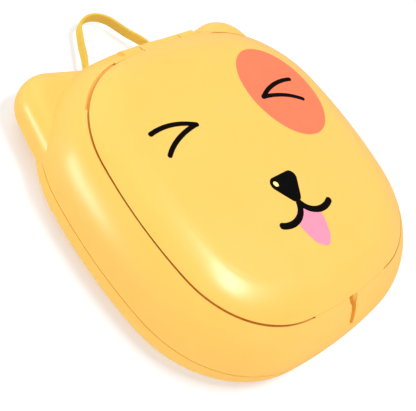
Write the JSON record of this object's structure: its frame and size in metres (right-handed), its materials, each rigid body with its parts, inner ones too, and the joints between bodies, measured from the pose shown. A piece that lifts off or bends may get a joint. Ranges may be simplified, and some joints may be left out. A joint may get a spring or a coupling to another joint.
{
  "type": "flip-lid novelty telephone",
  "caption": "Pillow-shaped flip-lid telephone styled as a puppy face, with soft ears, a hinged face lid over a keypad and a carry loop.",
  "frame": {"origin": "centre of the flat back face, on its plane", "axes": "+Z out of the face, +Y towards the ears and carry loop, +X to the right seen from the front"},
  "size_m": [0.11, 0.1265, 0.0282],
  "materials": {
    "yellow_case": "satin moulded warm yellow",
    "cream_panel": "fine satin cream",
    "white_key": "smooth off-white with printed digits",
    "coral_key": "smooth coral",
    "pink_key": "smooth pink",
    "loop_rubber": "flexible matte mustard ribbon",
    "grey_silicone": "soft translucent grey",
    "black_foam": "open foam",
    "cell_wrap": "dark shrink wrap with plain metal ends",
    "nickel_contact": "nickel plated spring steel",
    "green_board": "green solder mask",
    "black_component": "matte epoxy",
    "capsule_can": "drawn can",
    "magnet": "nickel plated",
    "screw_steel": "zinc plated"
  },
  "bodies": {
    "case": {"back_cover": "yellow_case", "base_shell": "yellow_case", "battery_cell_1": "cell_wrap", "battery_cell_2": "cell_wrap", "battery_cell_3": "cell_wrap", "board_screw_1": "screw_steel", "board_screw_2": "screw_steel", "board_screw_3": "screw_steel", "board_screw_4": "screw_steel", "carry_loop": "loop_rubber", "case_screw_1": "screw_steel", "case_screw_2": "screw_steel", "case_screw_3": "screw_steel", "case_screw_4": "screw_steel", "contact_pair_left": "nickel_contact", "contact_pair_right": "nickel_contact", "contact_single_left": "nickel_contact", "contact_single_right": "nickel_contact", "deck_screw_1": "screw_steel", "deck_screw_2": "screw_steel", "deck_screw_3": "screw_steel", "deck_screw_4": "screw_steel", "hinge_pin": "screw_steel", "keymat": "grey_silicone", "keypad_deck": "cream_panel", "lid_sensor": "black_component", "main_board": "green_board", "main_chip": "black_component", "microphone": "capsule_can", "ringer": "capsule_can", "storage_capacitor": "black_component"},
    "lid": {"lid_shell": "yellow_case", "lid_liner": "cream_panel", "earpiece": "capsule_can", "earpiece_gasket": "black_foam", "lid_magnet": "magnet", "lid_screw_1": "screw_steel", "lid_screw_2": "screw_steel", "lid_screw_3": "screw_steel", "lid_screw_4": "screw_steel"},
    "door": {"battery_door": "yellow_case", "door_screw_1": "screw_steel", "door_screw_2": "screw_steel"},
    "key_0": {"key_0": "white_key"},
    "key_1": {"key_1": "white_key"},
    "key_2": {"key_2": "white_key"},
    "key_3": {"key_3": "white_key"},
    "key_4": {"key_4": "white_key"},
    "key_5": {"key_5": "white_key"},
    "key_6": {"key_6": "white_key"},
    "key_7": {"key_7": "white_key"},
    "key_8": {"key_8": "white_key"},
    "key_9": {"key_9": "white_key"},
    "key_call": {"key_call": "coral_key"},
    "key_end": {"key_end": "pink_key"},
    "key_hash": {"key_hash": "white_key"},
    "key_star": {"key_star": "white_key"}
  },
  "joints": [
    {"name": "lid_hinge", "type": "hinge", "parent": "case", "child": "lid", "pos_m": [0, 0.04647, 0.02], "axis": [-1, 0, 0], "range_deg": [0, 110]},
    {"name": "door_lift", "type": "slide", "parent": "case", "child": "door", "axis": [0, 0, -1], "range_m": [0, 0.02]},
    {"name": "key_0_press", "type": "slide", "parent": "case", "child": "key_0", "axis": [0, 0, -1], "range_m": [0, 0.0008], "stiffness_N_per_m": 250, "springref_m": -0.0008, "deforming": ["keymat"]},
    {"name": "key_1_press", "type": "slide", "parent": "case", "child": "key_1", "axis": [0, 0, -1], "range_m": [0, 0.0008], "stiffness_N_per_m": 250, "springref_m": -0.0008, "deforming": ["keymat"]},
    {"name": "key_2_press", "type": "slide", "parent": "case", "child": "key_2", "axis": [0, 0, -1], "range_m": [0, 0.0008], "stiffness_N_per_m": 250, "springref_m": -0.0008, "deforming": ["keymat"]},
    {"name": "key_3_press", "type": "slide", "parent": "case", "child": "key_3", "axis": [0, 0, -1], "range_m": [0, 0.0008], "stiffness_N_per_m": 250, "springref_m": -0.0008, "deforming": ["keymat"]},
    {"name": "key_4_press", "type": "slide", "parent": "case", "child": "key_4", "axis": [0, 0, -1], "range_m": [0, 0.0008], "stiffness_N_per_m": 250, "springref_m": -0.0008, "deforming": ["keymat"]},
    {"name": "key_5_press", "type": "slide", "parent": "case", "child": "key_5", "axis": [0, 0, -1], "range_m": [0, 0.0008], "stiffness_N_per_m": 250, "springref_m": -0.0008, "deforming": ["keymat"]},
    {"name": "key_6_press", "type": "slide", "parent": "case", "child": "key_6", "axis": [0, 0, -1], "range_m": [0, 0.0008], "stiffness_N_per_m": 250, "springref_m": -0.0008, "deforming": ["keymat"]},
    {"name": "key_7_press", "type": "slide", "parent": "case", "child": "key_7", "axis": [0, 0, -1], "range_m": [0, 0.0008], "stiffness_N_per_m": 250, "springref_m": -0.0008, "deforming": ["keymat"]},
    {"name": "key_8_press", "type": "slide", "parent": "case", "child": "key_8", "axis": [0, 0, -1], "range_m": [0, 0.0008], "stiffness_N_per_m": 250, "springref_m": -0.0008, "deforming": ["keymat"]},
    {"name": "key_9_press", "type": "slide", "parent": "case", "child": "key_9", "axis": [0, 0, -1], "range_m": [0, 0.0008], "stiffness_N_per_m": 250, "springref_m": -0.0008, "deforming": ["keymat"]},
    {"name": "key_call_press", "type": "slide", "parent": "case", "child": "key_call", "axis": [0, 0, -1], "range_m": [0, 0.0008], "stiffness_N_per_m": 250, "springref_m": -0.0008, "deforming": ["keymat"]},
    {"name": "key_end_press", "type": "slide", "parent": "case", "child": "key_end", "axis": [0, 0, -1], "range_m": [0, 0.0008], "stiffness_N_per_m": 250, "springref_m": -0.0008, "deforming": ["keymat"]},
    {"name": "key_hash_press", "type": "slide", "parent": "case", "child": "key_hash", "axis": [0, 0, -1], "range_m": [0, 0.0008], "stiffness_N_per_m": 250, "springref_m": -0.0008, "deforming": ["keymat"]},
    {"name": "key_star_press", "type": "slide", "parent": "case", "child": "key_star", "axis": [0, 0, -1], "range_m": [0, 0.0008], "stiffness_N_per_m": 250, "springref_m": -0.0008, "deforming": ["keymat"]}
  ]
}
